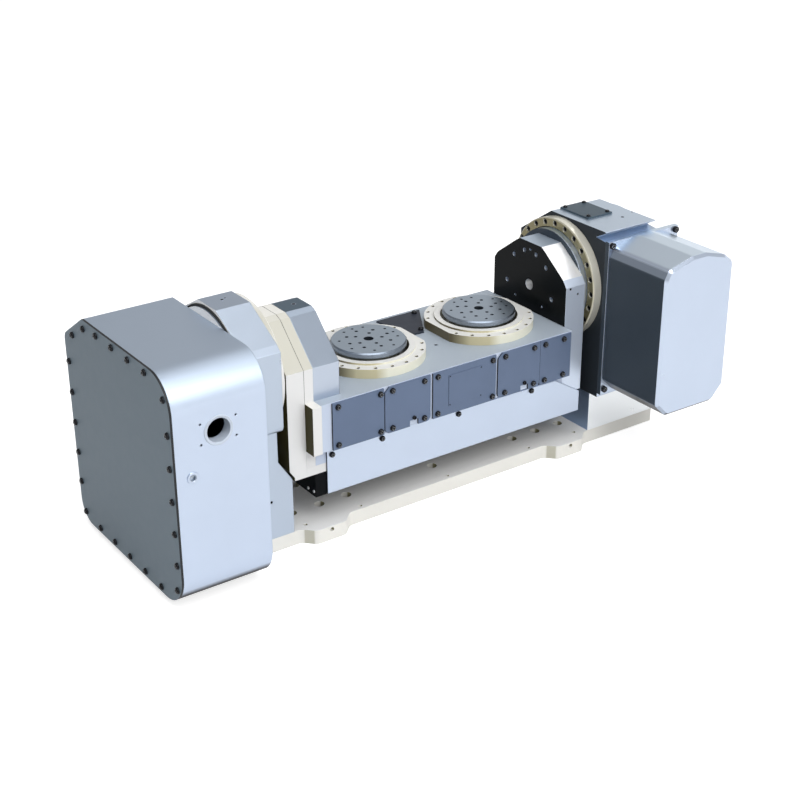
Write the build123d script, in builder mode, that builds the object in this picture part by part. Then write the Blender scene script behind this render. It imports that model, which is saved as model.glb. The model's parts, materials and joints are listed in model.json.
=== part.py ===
"""Tilting rotary table: a trunnion cradle with two direct drive spindles.

Millimetres. X runs along the tilt axis, -Y faces the operator and Z is up. The origin is on the
underside of the base plate, below the tilt axis and midway between the two spindles. Heights
called r are measured from the tilt axis, and depths along Y from the plane through it.
"""
import os
from math import cos, radians, sin

from build123d import *

os.makedirs("parts", exist_ok=True)

# Tilt axis and spindles
AXIS_Z = 240.0             # tilt axis above the base underside
SPINDLE_PITCH = 186.6      # distance between the two spindle axes

# Base plate
BASE_T = 20.0
BASE_RIGHT = 370.0         # its left end is below the face of the drive housing
BASE_HALF = 76.0           # half depth of the plate and of both stands
BASE_MID = -10.0           # X of the middle of the hole pattern
BASE_BOLT_R = 7.0
BASE_BOLT_Y = 32.0
BASE_BOLT_X = (0.0, 144.6, 188.0, 231.4)
DOWEL_R = 2.5
DOWEL_Y = 68.4
DOWEL_X = (0.0, 145.6, 232.2)
TAB_X = 206.0              # hoisting tabs, either side of BASE_MID
TAB_REACH = 16.0
TAB_FLAT = 22.0            # half width of a tab's front face
TAB_ROOT = 38.0            # half width where it leaves the plate
TAB_BLEND = 12.0
TAB_HOLE_R = 3.0
TAB_HOLE_DEPTH = 16.0
TAB_HOLE_Z = 15.0

# Cradle, from left to right along X
BEAM_LEFT = -231.0
BEAM_RIGHT = 184.0
LEFT_ARM_T = 39.0
RIGHT_ARM_T = 35.0
END_PLATE_T = 13.4
FLANGE_PLATE_T = 25.6

# Cradle section, as distances from the tilt axis
BEAM_TOP = 39.2
BEAM_VENT = (25.8, 2.5, 12.0)  # small hole in its top: from the axis, radius, depth
HEAD_BOTTOM = 106.5        # bottom of the deep upper part that carries the covers
BEAM_BOTTOM = 131.0
FOOT_BOTTOM = 143.5        # underside of the flange plate's foot and of the right arm
BOX_BOTTOM = 177.5         # underside of the lower box
HEAD_HALF = 95.8
SILL_HALF = 80.0
FOOT_LENGTH = 29.4
LEFT_TOP = 61.5            # top of the left arm and its plates above the axis
RIGHT_TOP = 63.0
SWING_CUT = (7.4, 128.0, 139.0)  # flange plate's lower left corner: along X, and from and to r
ARM_BORE_R = 8.0
ARM_BOLT_PCR = 50.0
ARM_BOLT_ANGLES = (-9.0, 45.0, 75.0, 105.0, 135.0, 189.0)
ARM_BOLT_R = 3.4
ARM_BOLT_DEPTH = 18.0
ARM_PIN_R = 2.0
ARM_PINS = ((52.5, 90.0), (39.0, -40.0), (39.0, 220.0))  # radius and angle
ARM_PIN_DEPTH = 8.0

# Front covers
COVER_T = 2.6
COVER_TOP = 40.4
COVER_LEFTS = (-215.0, -134.5, -57.6, 51.6, 125.6)
COVER_RIGHTS = (-136.0, -61.7, 48.0, 125.2, 181.0)
COVER_SCREW_R = 4.1
COVER_SCREW_H = 3.4
COVER_SCREW_INSETS = ((8.2, 5.7), (11.6, 10.2), (7.6, 6.0), (12.0, 10.8), (8.5, 13.5))
COVER_SCREW_ROW = 6.2
POCKET_DEPTH = 14.0
POCKET_RIM = 16.0
COVER_CORNER = 7.0
PLUG_NOTCH = (13.6, 8.5)   # width and height
PLUG_INSET = 26.6          # from the cover's right edge
PLUG_R = 2.9
PLUG_H = 2.0

# Lower guard panel and box
GUARD_HALF = 215.0
GUARD_T = 2.6
GUARD_TOP = 113.0
GUARD_BOTTOM = 176.0
GUARD_CORNER = (46.0, 28.0)
GUARD_SCREW_X = (-207.5, -129.0, -3.0, 125.0)
GUARD_SCREW_DROP = 7.4
BOX_LEFT = -232.0
BOX_RIGHT = 216.0

# Cover on the back of the beam, between the spindle rings
BACK_COVER_T = 2.5
BACK_COVER_OUTLINE = ((-21.9, 86.5), (52.6, 86.5), (11.1, 17.4), (-9.7, 19.3))
BACK_COVER_SCREWS = ((39.0, 80.0), (12.0, 26.0))

# Spindles
RING_R = 77.0
RING_FLAT = 72.0
RING_T = 12.9
RING_BORE = 54.5
RING_LIP_R = 63.0
RING_LIP_H = 2.5
RING_SCREW_PCR = 72.3
RING_SCREW_R = 2.1
RING_CBORE_R = 2.7
RING_CBORE_DEPTH = 4.0
RING_SCREW_H = 3.0
FACEPLATE_R = 51.3
FACEPLATE_T = 7.0
FACEPLATE_EDGE = 1.7
FACEPLATE_TOP = 15.2       # its top face below the tilt axis
FACEPLATE_BORE = 6.8
SHAFT_BORE = 9.0
FACEPLATE_HOLE_R = 2.5
INNER_PCR = 18.6
MIDDLE_PCR = 30.0
OUTER_PCR = 40.0
OUTER_HOLE_R = 2.0
SPINDLE_BORE_R = 66.0
SPINDLE_FLOOR = 10.0
SHAFT_R = 42.0
AIR_GAP = 0.6
BEARING_H = 17.0
BEARING_RACE = 7.0
STATOR_T = 15.0
STATOR_H = 46.0
MOTOR_END_GAP = 4.0

# Trunnions
TRUNNION_RING_R = 88.5
TRUNNION_RING_BORE = 75.5
TRUNNION_PCR = 82.2
TRUNNION_BOLTS = 24
TRUNNION_CBORE_R = 4.4
TRUNNION_CBORE_DEPTH = 6.0
TRUNNION_BOLT_R = 4.0
TRUNNION_BOLT_H = 4.4
TURRET_R = 74.3
JOURNAL_R = 45.0
JOURNAL_BORE = 18.0
JOURNAL_END = 10.0         # journal's end inside the support
HOUSING_BORE = 68.0
TILT_BEARING_W = 24.0
TILT_RACE = 6.4
ROLLER_GAP = 0.3

# Left pedestal
PEDESTAL_LEFT = -332.0
SPIGOT_R = 84.0            # round seat between the pedestal and the drive housing
SPIGOT_T = 4.0
PEDESTAL_RIGHT = -284.0
PEDESTAL_FOOT_RIGHT = -264.0
PEDESTAL_LEDGE = 17.5      # how far its bearing housing stands out in front of the base
PEDESTAL_WAIST = 64.0
PEDESTAL_SHOULDER = ((0.0, 47.0), (8.5, 54.5), (70.5, 89.6))  # in from its side, and r
PEDESTAL_CORNER = 12.0
PEDESTAL_FOOT_TOP = 80.0
RELIEF_R = (135.0, 160.7)  # cone round the axis that clears the swinging plate, left and right
LEFT_RING_T = 8.0

# Left drive housing
DRIVE_DEPTH = 126.0        # with its cover
DRIVE_HALF = 144.0
DRIVE_TOP = 73.3
DRIVE_BOTTOM = 233.0
DRIVE_WALL = 6.0
DRIVE_COVER_T = 3.0
DRIVE_FRONT_R = 46.0
DRIVE_BACK_R = 30.0
DRIVE_SLOPE = (60.0, 39.0)
DRIVE_SCREW_PITCH = 43.5
DRIVE_SCREW_INSET = 8.2
DRIVE_TOP_SCREWS = ((-131.4, 25.8), (116.8, 32.5), (80.9, 11.9))  # Y, and drop from the top
DRIVE_LOW_SCREWS = ((-131.7, 25.9), (130.5, 13.3))  # Y, and height above the bottom
DRIVE_SCREW_R = 4.4
DRIVE_SCREW_H = 3.2
DRIVE_BORE = 50.0
PORT_BACK = 64.6           # from the pedestal side of the housing
PORT_DROP = 3.2
PORT_R = 16.5
PORT_HOLES = (23.4, 13.3)
PORT_HOLE_R = 1.6
BUSH_BACK = 101.6
BUSH_DROP = 55.1
BUSH_R = 7.4
BUSH_BORE = 4.5
BUSH_LIP = 1.0

# Right support, its stand and the clamp unit in front of it
SUPPORT_LEFT = 242.0
SUPPORT_RIGHT = 340.0
SUPPORT_HALF = 91.5
SUPPORT_TOP = 91.7
SUPPORT_BOTTOM = 159.5
SUPPORT_SLOPE = (66.0, 44.0)
SUPPORT_EDGE = 5.0         # chamfer along the top on the cap side
SUPPORT_GROOVE = ((0.0, 77.5), (20.2, 79.7), (0.0, 90.8))  # in from its front, and r
SUPPORT_LIP = 2.0
RIGHT_RING_T = 14.3
CAP_R = 86.0
CAP_T = 12.0
CAP_EDGE = 3.0
CAP_SPIGOT = 6.0
UNIT_FRONT = 211.0
UNIT_PLATE_T = 7.3
UNIT_WALL = 5.0
UNIT_EDGE = 4.0
UNIT_CORNER = 9.0
UNIT_OUTLINE = (
    (244.0, 56.0), (251.0, 70.0), (294.0, 81.0), (319.0, 81.0), (355.5, 71.0),
    (372.0, 58.0), (374.0, -127.0), (353.0, -150.0), (264.0, -149.0), (244.0, -129.0),
)
UNIT_EARS_X = (247.6, 367.6)
UNIT_EARS_R = (73.5, -145.0)
UNIT_PLATE_RIGHT = 373.0
UNIT_PLATE_TOP = 79.0
UNIT_PLATE_BOTTOM = 153.5
UNIT_PLATE_CORNER = (6.0, 24.5)
BOOSTER_X = 309.0
BOOSTER_R = 38.0
BOOSTER_LENGTH = 160.0
BOOSTER_BOTTOM = 110.0     # below the tilt axis
BOOSTER_OUT = 50.0         # its middle in front of the plate
BOOSTER_FOOT = (50.0, 120.0)  # width and height of the block that holds it
EAR_SCREW_R = 4.6
EAR_SCREW_H = 4.0
PANEL_X = (259.0, 304.5)
PANEL_Y = (-34.5, 25.5)
PANEL_T = 2.5
PANEL_SCREW_R = 3.2
PANEL_SCREW_H = 2.4
PANEL_SCREW_INSET = 5.0

# Tilt drive inside the left housing
MOTOR_DROP = 145.0         # motor shaft below the tilt axis
MOTOR_SQUARE = 100.0
MOTOR_CORNER = 10.0
MOTOR_LENGTH = 62.0
BRACKET_T = 6.0
BRACKET_HALF = 66.0
BRACKET_CORNER = 8.0
BRACKET_BORE = 30.0
BRACKET_GAP = 6.0          # between the bracket and the pulleys
POST_R = 6.0
POST_INSET = 10.0
PULLEY_BACK = 34.0         # pulleys' left face from the housing's inner face
SHAFT_END = 2.0
PULLEY_W = 22.0
INPUT_PULLEY_R = 32.0
MOTOR_PULLEY_R = 18.0
BELT_W = 18.0
BELT_T = 2.4
BELT_GAP = 0.3
INPUT_SHAFT_R = 11.0
REDUCER_WALL = 8.0
REDUCER_GAP = 2.0
MOTOR_SHAFT_R = 8.0
CLAMP_DISC_R = 66.0
CLAMP_DISC_T = 8.0
CLAMP_GAP = 8.0            # between the bearing and the clamp disc
PISTON_T = 16.0

# Values worked out from the sizes above
BASE_TOP_R = -(AXIS_Z - BASE_T)
END_PLATE_LEFT = BEAM_LEFT - END_PLATE_T
FLANGE_PLATE_LEFT = END_PLATE_LEFT - FLANGE_PLATE_T
DRIVE_RIGHT = PEDESTAL_LEFT - SPIGOT_T
DRIVE_LEFT = DRIVE_RIGHT - DRIVE_DEPTH
BASE_LEFT = DRIVE_RIGHT
PEDESTAL_HALF = BASE_HALF + PEDESTAL_LEDGE
PORT_X = DRIVE_RIGHT - PORT_BACK
BUSH_X = DRIVE_RIGHT - BUSH_BACK
LEFT_ARM_RIGHT = BEAM_LEFT + LEFT_ARM_T
RIGHT_ARM_RIGHT = BEAM_RIGHT + RIGHT_ARM_T
COVER_FACE = HEAD_HALF + COVER_T
BEAM_TOP_Z = AXIS_Z - BEAM_TOP
SPINDLE_X = (-SPINDLE_PITCH / 2, SPINDLE_PITCH / 2)
SPINDLE_NAMES = ("left", "right")
SPINDLE_FLOOR_Z = AXIS_Z - BEAM_BOTTOM + SPINDLE_FLOOR
FACEPLATE_UNDER_Z = AXIS_Z - FACEPLATE_TOP - FACEPLATE_T


def station(x):
    """A plane across the machine at X, facing +X, with its origin on the tilt axis."""
    return Plane(origin=(x, 0, AXIS_Z), x_dir=(0, 1, 0), z_dir=(1, 0, 0))


def front(y):
    """A plane facing the operator at Y, with its origin level with the tilt axis."""
    return Plane(origin=(0, y, AXIS_Z), x_dir=(1, 0, 0), z_dir=(0, -1, 0))


def level(r, x=0.0):
    """A horizontal plane at a height r from the tilt axis."""
    return Plane(origin=(x, 0, AXIS_Z + r), x_dir=(1, 0, 0), z_dir=(0, 0, 1))


def prism(plane, points, length, mode=Mode.ADD):
    """Extrude a closed outline along the plane's normal."""
    with BuildSketch(plane) as outline:
        with BuildLine():
            Polyline(*points, close=True)
        make_face()
    extrude(outline.sketch, amount=length, mode=mode)


def tube(plane, outer, length, inner=0.0, mode=Mode.ADD):
    """Extrude a disc, or a ring where an inner radius is given."""
    with BuildSketch(plane) as disc:
        Circle(outer)
        if inner:
            Circle(inner, mode=Mode.SUBTRACT)
    extrude(disc.sketch, amount=length, mode=mode)


def studs(plane, points, radius, length, sides=8, mode=Mode.ADD):
    """Small rounds with few faces at each point: screw heads, or the holes they sit in."""
    with BuildSketch(plane) as heads:
        with Locations(*points):
            RegularPolygon(radius, sides)
    extrude(heads.sketch, amount=length, mode=mode)


def corner(sketch, point):
    """The sketch's vertex nearest to a point."""
    return sketch.vertices().sort_by_distance(Vector(*point))[0]


def finish(piece, name):
    """Label a finished piece and write it to its own file."""
    piece.part.label = name
    export_step(piece.part, f"parts/{name}.step")


def mirrored(half):
    """A symmetric outline from its points on the -Y side, listed from bottom to top."""
    return [(-y, r) for y, r in half] + [(y, r) for y, r in reversed(half)]


# Base plate with hoisting tabs, table bolts and dowel holes
with BuildPart() as base_plate:
    with BuildSketch(Plane.XY) as base_sketch:
        with BuildLine():
            Polyline((BASE_LEFT, -BASE_HALF), (BASE_RIGHT, -BASE_HALF), (BASE_RIGHT, BASE_HALF),
                     (BASE_LEFT, BASE_HALF), close=True)
        make_face()
        for side in (-1, 1):
            for x in (BASE_MID - TAB_X, BASE_MID + TAB_X):
                with BuildLine():
                    Polyline((x - TAB_ROOT, side * BASE_HALF),
                             (x - TAB_FLAT, side * (BASE_HALF + TAB_REACH)),
                             (x + TAB_FLAT, side * (BASE_HALF + TAB_REACH)),
                             (x + TAB_ROOT, side * BASE_HALF), close=True)
                make_face()
        blends = [v for v in base_sketch.vertices() if BASE_LEFT + 1 < v.X < BASE_RIGHT - 1]
        fillet(blends, radius=TAB_BLEND)
    extrude(amount=BASE_T)
    bolt_points = [(BASE_MID + sx * x, sy * BASE_BOLT_Y) for x in BASE_BOLT_X
                   for sx in ((1,) if x == 0 else (-1, 1)) for sy in (-1, 1)]
    dowel_points = [(BASE_MID + sx * x, sy * DOWEL_Y) for x in DOWEL_X
                    for sx in ((1,) if x == 0 else (-1, 1)) for sy in (-1, 1)]
    with BuildSketch(Plane.XY):
        with Locations(*bolt_points):
            Circle(BASE_BOLT_R)
        with Locations(*dowel_points):
            Circle(DOWEL_R)
    extrude(amount=BASE_T, mode=Mode.SUBTRACT)
    with BuildSketch(Plane(origin=(0, -BASE_HALF - TAB_REACH, 0), x_dir=(1, 0, 0),
                           z_dir=(0, -1, 0))):
        with Locations((BASE_MID - TAB_X, TAB_HOLE_Z), (BASE_MID + TAB_X, TAB_HOLE_Z)):
            Circle(TAB_HOLE_R)
    extrude(amount=-TAB_HOLE_DEPTH, mode=Mode.SUBTRACT)
finish(base_plate, "base_plate")

# Left pedestal: one casting with the bearing housing, and a foot cut back for the swinging plate
pedestal_side = [(-BASE_HALF, BASE_TOP_R), (-BASE_HALF, -PEDESTAL_WAIST),
                 (-PEDESTAL_HALF, -PEDESTAL_WAIST),
                 *[(inset - PEDESTAL_HALF, r) for inset, r in PEDESTAL_SHOULDER]]
with BuildPart() as left_pedestal:
    with BuildSketch(station(PEDESTAL_LEFT)) as pedestal_sketch:
        with BuildLine():
            Polyline(*pedestal_side, *[(-y, r) for y, r in reversed(pedestal_side)], close=True)
        make_face()
        fillet([corner(pedestal_sketch, (s * PEDESTAL_HALF, -PEDESTAL_WAIST, 0))
                for s in (-1, 1)], radius=PEDESTAL_CORNER)
    extrude(amount=PEDESTAL_RIGHT - PEDESTAL_LEFT)
    prism(station(PEDESTAL_RIGHT), mirrored([(BASE_HALF, BASE_TOP_R),
                                             (BASE_HALF, -PEDESTAL_FOOT_TOP)]),
          PEDESTAL_FOOT_RIGHT - PEDESTAL_RIGHT)
    with BuildSketch(front(0)):
        with BuildLine():
            Polyline((PEDESTAL_RIGHT, 0), (PEDESTAL_RIGHT, -RELIEF_R[0]),
                     (PEDESTAL_FOOT_RIGHT, -RELIEF_R[1]), (PEDESTAL_FOOT_RIGHT, 0), close=True)
        make_face()
    revolve(axis=Axis((0, 0, AXIS_Z), (1, 0, 0)), mode=Mode.SUBTRACT)
    tube(station(DRIVE_RIGHT), SPIGOT_R, SPIGOT_T)
    tube(station(DRIVE_RIGHT), HOUSING_BORE, PEDESTAL_RIGHT - DRIVE_RIGHT, mode=Mode.SUBTRACT)
finish(left_pedestal, "left_pedestal")


def bolt_angles():
    """Angles of the trunnion ring's bolts, with one at the top."""
    return [90 + 360 / TRUNNION_BOLTS * i for i in range(TRUNNION_BOLTS)]


def on_circle(radius, angles):
    """Points at the given angles on a circle."""
    return [(radius * cos(radians(a)), radius * sin(radians(a))) for a in angles]


def trunnion_ring(seat, face):
    """Fixed ring round a trunnion, bolted from its face side, with counterbored holes."""
    side = 1 if face > seat else -1
    with BuildPart() as ring:
        tube(station(seat), TRUNNION_RING_R, face - seat, TRUNNION_RING_BORE)
        chamfer(ring.edges().filter_by(GeomType.CIRCLE).group_by(Axis.X)[-1 if side > 0 else 0]
                .sort_by(SortBy.RADIUS)[-1], length=1.5)
        studs(station(face), on_circle(TRUNNION_PCR, bolt_angles()), TRUNNION_CBORE_R,
              -side * TRUNNION_CBORE_DEPTH, 12, Mode.SUBTRACT)
    return ring


left_ring = trunnion_ring(PEDESTAL_RIGHT, PEDESTAL_RIGHT + LEFT_RING_T)
finish(left_ring, "left_trunnion_ring")
right_ring = trunnion_ring(SUPPORT_LEFT, SUPPORT_LEFT - RIGHT_RING_T)
finish(right_ring, "right_trunnion_ring")

with BuildPart() as trunnion_ring_bolts:
    for face, side in ((PEDESTAL_RIGHT + LEFT_RING_T, 1), (SUPPORT_LEFT - RIGHT_RING_T, -1)):
        studs(station(face - side * TRUNNION_CBORE_DEPTH),
              on_circle(TRUNNION_PCR, bolt_angles()), TRUNNION_BOLT_R, side * TRUNNION_BOLT_H)
finish(trunnion_ring_bolts, "trunnion_ring_bolts")


# Left drive housing: a deep casing closed by a flat cover
def drive_outline(plane, inset=0.0):
    """Outline of the drive casing, optionally moved inwards."""
    half = DRIVE_HALF - inset
    top = DRIVE_TOP - inset
    bottom = inset - DRIVE_BOTTOM
    run, drop = DRIVE_SLOPE
    with BuildSketch(plane) as sketch:
        with BuildLine():
            Polyline((-half, bottom), (-half, top), (half - run, top), (half, top - drop),
                     (half, bottom), close=True)
        make_face()
        for point, radius in (((-half, bottom), DRIVE_FRONT_R), ((-half, top), DRIVE_FRONT_R),
                              ((half, top - drop), DRIVE_BACK_R / 2),
                              ((half, bottom), DRIVE_BACK_R)):
            fillet(corner(sketch, (*point, 0)), radius=radius - inset)
    return sketch.sketch


drive_case_left = DRIVE_LEFT + DRIVE_COVER_T
drive_depth = DRIVE_RIGHT - drive_case_left
with BuildPart() as drive_housing:
    extrude(drive_outline(station(drive_case_left)), amount=drive_depth)
    extrude(drive_outline(station(drive_case_left), DRIVE_WALL),
            amount=drive_depth - DRIVE_WALL, mode=Mode.SUBTRACT)
    tube(station(DRIVE_RIGHT - DRIVE_WALL), DRIVE_BORE, DRIVE_WALL, mode=Mode.SUBTRACT)
    with BuildSketch(front(-DRIVE_HALF)):
        with Locations((PORT_X, -PORT_DROP)):
            Circle(PORT_R)
        with Locations((BUSH_X, -BUSH_DROP)):
            Circle(BUSH_R)
    extrude(amount=-DRIVE_WALL, mode=Mode.SUBTRACT)
    studs(front(-DRIVE_HALF), [(PORT_X + sx * PORT_HOLES[0], sz * PORT_HOLES[1] - PORT_DROP)
                               for sx in (-1, 1) for sz in (-1, 1)],
          PORT_HOLE_R, -DRIVE_WALL, mode=Mode.SUBTRACT)
finish(drive_housing, "drive_housing")

with BuildPart() as drive_cover:
    extrude(drive_outline(station(DRIVE_LEFT)), amount=DRIVE_COVER_T)
finish(drive_cover, "drive_cover")

screw_y = DRIVE_HALF - DRIVE_SCREW_INSET
screw_top = DRIVE_TOP - DRIVE_SCREW_INSET
screw_bottom = DRIVE_SCREW_INSET - DRIVE_BOTTOM
drive_screw_points = (
    [(screw_y, -2.0 - k * DRIVE_SCREW_PITCH) for k in range(5)]
    + [(-screw_y, 3.5 - k * DRIVE_SCREW_PITCH) for k in range(5)]
    + [(k * DRIVE_SCREW_PITCH, screw_bottom) for k in range(-2, 3)]
    + [(k * DRIVE_SCREW_PITCH, screw_top) for k in range(-2, 2)]
    + [(y, DRIVE_TOP - drop) for y, drop in DRIVE_TOP_SCREWS]
    + [(y, rise - DRIVE_BOTTOM) for y, rise in DRIVE_LOW_SCREWS]
)
with BuildPart() as drive_cover_screws:
    studs(station(DRIVE_LEFT), drive_screw_points, DRIVE_SCREW_R, -DRIVE_SCREW_H)
finish(drive_cover_screws, "drive_cover_screws")

with BuildPart() as air_port_bush:
    with BuildSketch(front(-DRIVE_HALF - BUSH_LIP)):
        with Locations((BUSH_X, -BUSH_DROP)):
            Circle(BUSH_R)
            Circle(BUSH_BORE, mode=Mode.SUBTRACT)
    extrude(amount=-(DRIVE_WALL + BUSH_LIP))
finish(air_port_bush, "air_port_bush")

# Tilt drive: motor on a bracket, belt, and a coaxial reducer in the pedestal
pulley_left = DRIVE_RIGHT - DRIVE_WALL - PULLEY_BACK
bracket_left = pulley_left - BRACKET_GAP - BRACKET_T
motor_left = bracket_left - MOTOR_LENGTH


def motor_station(x):
    """A plane facing +X with its origin on the motor's shaft."""
    return Plane(origin=(x, 0, AXIS_Z - MOTOR_DROP), x_dir=(0, 1, 0), z_dir=(1, 0, 0))


with BuildPart() as tilt_motor:
    with BuildSketch(motor_station(motor_left)):
        RectangleRounded(MOTOR_SQUARE, MOTOR_SQUARE, MOTOR_CORNER)
    extrude(amount=MOTOR_LENGTH)
finish(tilt_motor, "tilt_motor")

post_offset = BRACKET_HALF - POST_INSET
post_points = [(sy * post_offset, sz * post_offset) for sy in (-1, 1) for sz in (-1, 1)]
with BuildPart() as motor_bracket:
    with BuildSketch(motor_station(bracket_left)):
        RectangleRounded(2 * BRACKET_HALF, 2 * BRACKET_HALF, BRACKET_CORNER)
        Circle(BRACKET_BORE, mode=Mode.SUBTRACT)
    extrude(amount=BRACKET_T)
    studs(motor_station(bracket_left + BRACKET_T), post_points, POST_R,
          DRIVE_RIGHT - DRIVE_WALL - bracket_left - BRACKET_T)
finish(motor_bracket, "motor_bracket")

with BuildPart() as motor_pulley:
    tube(motor_station(bracket_left), MOTOR_SHAFT_R,
         pulley_left + PULLEY_W + SHAFT_END - bracket_left)
    tube(motor_station(pulley_left), MOTOR_PULLEY_R, PULLEY_W)
finish(motor_pulley, "motor_pulley")

journal_left = DRIVE_RIGHT + REDUCER_WALL + 2 * REDUCER_GAP
with BuildPart() as input_pulley:
    tube(station(pulley_left - SHAFT_END), INPUT_SHAFT_R,
         journal_left - REDUCER_GAP - pulley_left + SHAFT_END)
    tube(station(pulley_left), INPUT_PULLEY_R, PULLEY_W)
finish(input_pulley, "input_pulley")


def belt_loop(grow):
    """The belt's closed loop round both pulleys, grown outwards from their rims."""
    with BuildSketch(station(pulley_left + (PULLEY_W - BELT_W) / 2)) as loop:
        Circle(INPUT_PULLEY_R + BELT_GAP + grow)
        with Locations((0, -MOTOR_DROP)):
            Circle(MOTOR_PULLEY_R + BELT_GAP + grow)
        make_hull()
    return loop.sketch


with BuildPart() as drive_belt:
    extrude(belt_loop(BELT_T), amount=BELT_W)
    extrude(belt_loop(0.0), amount=BELT_W, mode=Mode.SUBTRACT)
finish(drive_belt, "drive_belt")

with BuildPart() as reducer_case:
    tube(station(DRIVE_RIGHT), HOUSING_BORE, PEDESTAL_RIGHT - TILT_BEARING_W - DRIVE_RIGHT,
         JOURNAL_R + REDUCER_GAP)
    tube(station(DRIVE_RIGHT), JOURNAL_R + 2 * REDUCER_GAP, REDUCER_WALL,
         INPUT_SHAFT_R + ROLLER_GAP)
finish(reducer_case, "reducer_case")


def tilt_bearing(left, name):
    """Crossed roller bearing of a trunnion: fixed ring and rollers, and the turning ring."""
    with BuildPart() as outer:
        tube(station(left), HOUSING_BORE, TILT_BEARING_W, JOURNAL_R + TILT_RACE + ROLLER_GAP)
    finish(outer, f"{name}_bearing_outer")
    with BuildPart() as inner:
        tube(station(left), JOURNAL_R + TILT_RACE, TILT_BEARING_W, JOURNAL_R)
    finish(inner, f"{name}_bearing_inner")


tilt_bearing(PEDESTAL_RIGHT - TILT_BEARING_W, "left_tilt")
tilt_bearing(SUPPORT_LEFT, "right_tilt")

# Trunnions: a turret disc inside the fixed ring, and a hollow journal
with BuildPart() as left_trunnion:
    tube(station(PEDESTAL_RIGHT + 1), TURRET_R, FLANGE_PLATE_LEFT - PEDESTAL_RIGHT - 1,
         JOURNAL_BORE)
    tube(station(journal_left), JOURNAL_R, PEDESTAL_RIGHT + 1 - journal_left, JOURNAL_BORE)
finish(left_trunnion, "left_trunnion")

clamp_disc_left = SUPPORT_LEFT + TILT_BEARING_W + CLAMP_GAP
journal_right = SUPPORT_RIGHT - JOURNAL_END
with BuildPart() as right_trunnion:
    tube(station(RIGHT_ARM_RIGHT), TURRET_R, SUPPORT_LEFT - 1 - RIGHT_ARM_RIGHT, JOURNAL_BORE)
    tube(station(SUPPORT_LEFT - 1), JOURNAL_R, journal_right - SUPPORT_LEFT + 1, JOURNAL_BORE)
finish(right_trunnion, "right_trunnion")

with BuildPart() as clamp_disc:
    tube(station(clamp_disc_left), CLAMP_DISC_R, CLAMP_DISC_T, JOURNAL_R)
finish(clamp_disc, "clamp_disc")
with BuildPart() as clamp_piston:
    tube(station(clamp_disc_left + CLAMP_DISC_T + ROLLER_GAP), HOUSING_BORE, PISTON_T,
         JOURNAL_R + REDUCER_GAP)
finish(clamp_piston, "clamp_piston")

# Right stand, support casting and its caps
with BuildPart() as right_stand:
    prism(station(SUPPORT_LEFT), [(-BASE_HALF, BASE_TOP_R), (-BASE_HALF, -SUPPORT_BOTTOM),
                                  (BASE_HALF, -SUPPORT_BOTTOM), (BASE_HALF, BASE_TOP_R)],
          BASE_RIGHT - 0.5 - SUPPORT_LEFT)
finish(right_stand, "right_stand")

with BuildPart() as right_support:
    back_run, back_drop = SUPPORT_SLOPE
    prism(station(SUPPORT_LEFT), [
        (-SUPPORT_HALF, -SUPPORT_BOTTOM),
        *[(inset - SUPPORT_HALF, r) for inset, r in SUPPORT_GROOVE],
        (SUPPORT_LIP - SUPPORT_HALF, SUPPORT_TOP),
        (SUPPORT_HALF - back_run, SUPPORT_TOP), (SUPPORT_HALF, SUPPORT_TOP - back_drop),
        (SUPPORT_HALF, -SUPPORT_BOTTOM)], SUPPORT_RIGHT - SUPPORT_LEFT)
    top_edges = right_support.edges().filter_by(Axis.Y).group_by(Axis.Z)[-1]
    chamfer(top_edges.sort_by(Axis.X)[-1], length=SUPPORT_EDGE)
    tube(station(SUPPORT_LEFT), HOUSING_BORE, SUPPORT_RIGHT - SUPPORT_LEFT,
         mode=Mode.SUBTRACT)
finish(right_support, "right_support")

with BuildPart() as rear_cap:
    tube(station(SUPPORT_RIGHT), CAP_R, CAP_T)
    tube(station(SUPPORT_RIGHT), JOURNAL_BORE, -CAP_SPIGOT)
    chamfer(rear_cap.edges().filter_by(GeomType.CIRCLE).sort_by(Axis.X)[-1], length=CAP_EDGE)
finish(rear_cap, "rear_cap")

panel_mid = (sum(PANEL_X) / 2, sum(PANEL_Y) / 2)
panel_size = (PANEL_X[1] - PANEL_X[0], PANEL_Y[1] - PANEL_Y[0])
with BuildPart() as support_panel:
    with BuildSketch(level(SUPPORT_TOP)):
        with Locations(panel_mid):
            Rectangle(*panel_size)
    extrude(amount=PANEL_T)
finish(support_panel, "support_panel")

# Clamp unit in front of the right support
with BuildPart() as unit_plate:
    with BuildSketch(front(-SUPPORT_HALF)):
        with BuildLine():
            Polyline((SUPPORT_LEFT, UNIT_PLATE_TOP), (UNIT_PLATE_RIGHT, UNIT_PLATE_TOP),
                     (UNIT_PLATE_RIGHT, UNIT_PLATE_CORNER[1] - UNIT_PLATE_BOTTOM),
                     (UNIT_PLATE_RIGHT - UNIT_PLATE_CORNER[0], -UNIT_PLATE_BOTTOM),
                     (SUPPORT_LEFT, -UNIT_PLATE_BOTTOM), close=True)
        make_face()
    extrude(amount=UNIT_PLATE_T)
finish(unit_plate, "clamp_unit_plate")

unit_back = -SUPPORT_HALF - UNIT_PLATE_T
unit_depth = UNIT_FRONT + unit_back
with BuildPart() as unit_housing:
    with BuildSketch(front(unit_back)) as unit_sketch:
        with BuildLine():
            Polyline(*UNIT_OUTLINE, close=True)
        make_face()
        fillet(unit_sketch.vertices(), radius=UNIT_CORNER)
    extrude(amount=unit_depth)
    chamfer(unit_housing.faces().sort_by(Axis.Y)[0].edges(), length=UNIT_EDGE)
    with BuildSketch(front(unit_back)):
        with BuildLine():
            Polyline(*UNIT_OUTLINE, close=True)
        make_face()
        offset(amount=-UNIT_WALL, kind=Kind.INTERSECTION)
    extrude(amount=unit_depth - UNIT_WALL, mode=Mode.SUBTRACT)
finish(unit_housing, "clamp_unit_housing")

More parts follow.
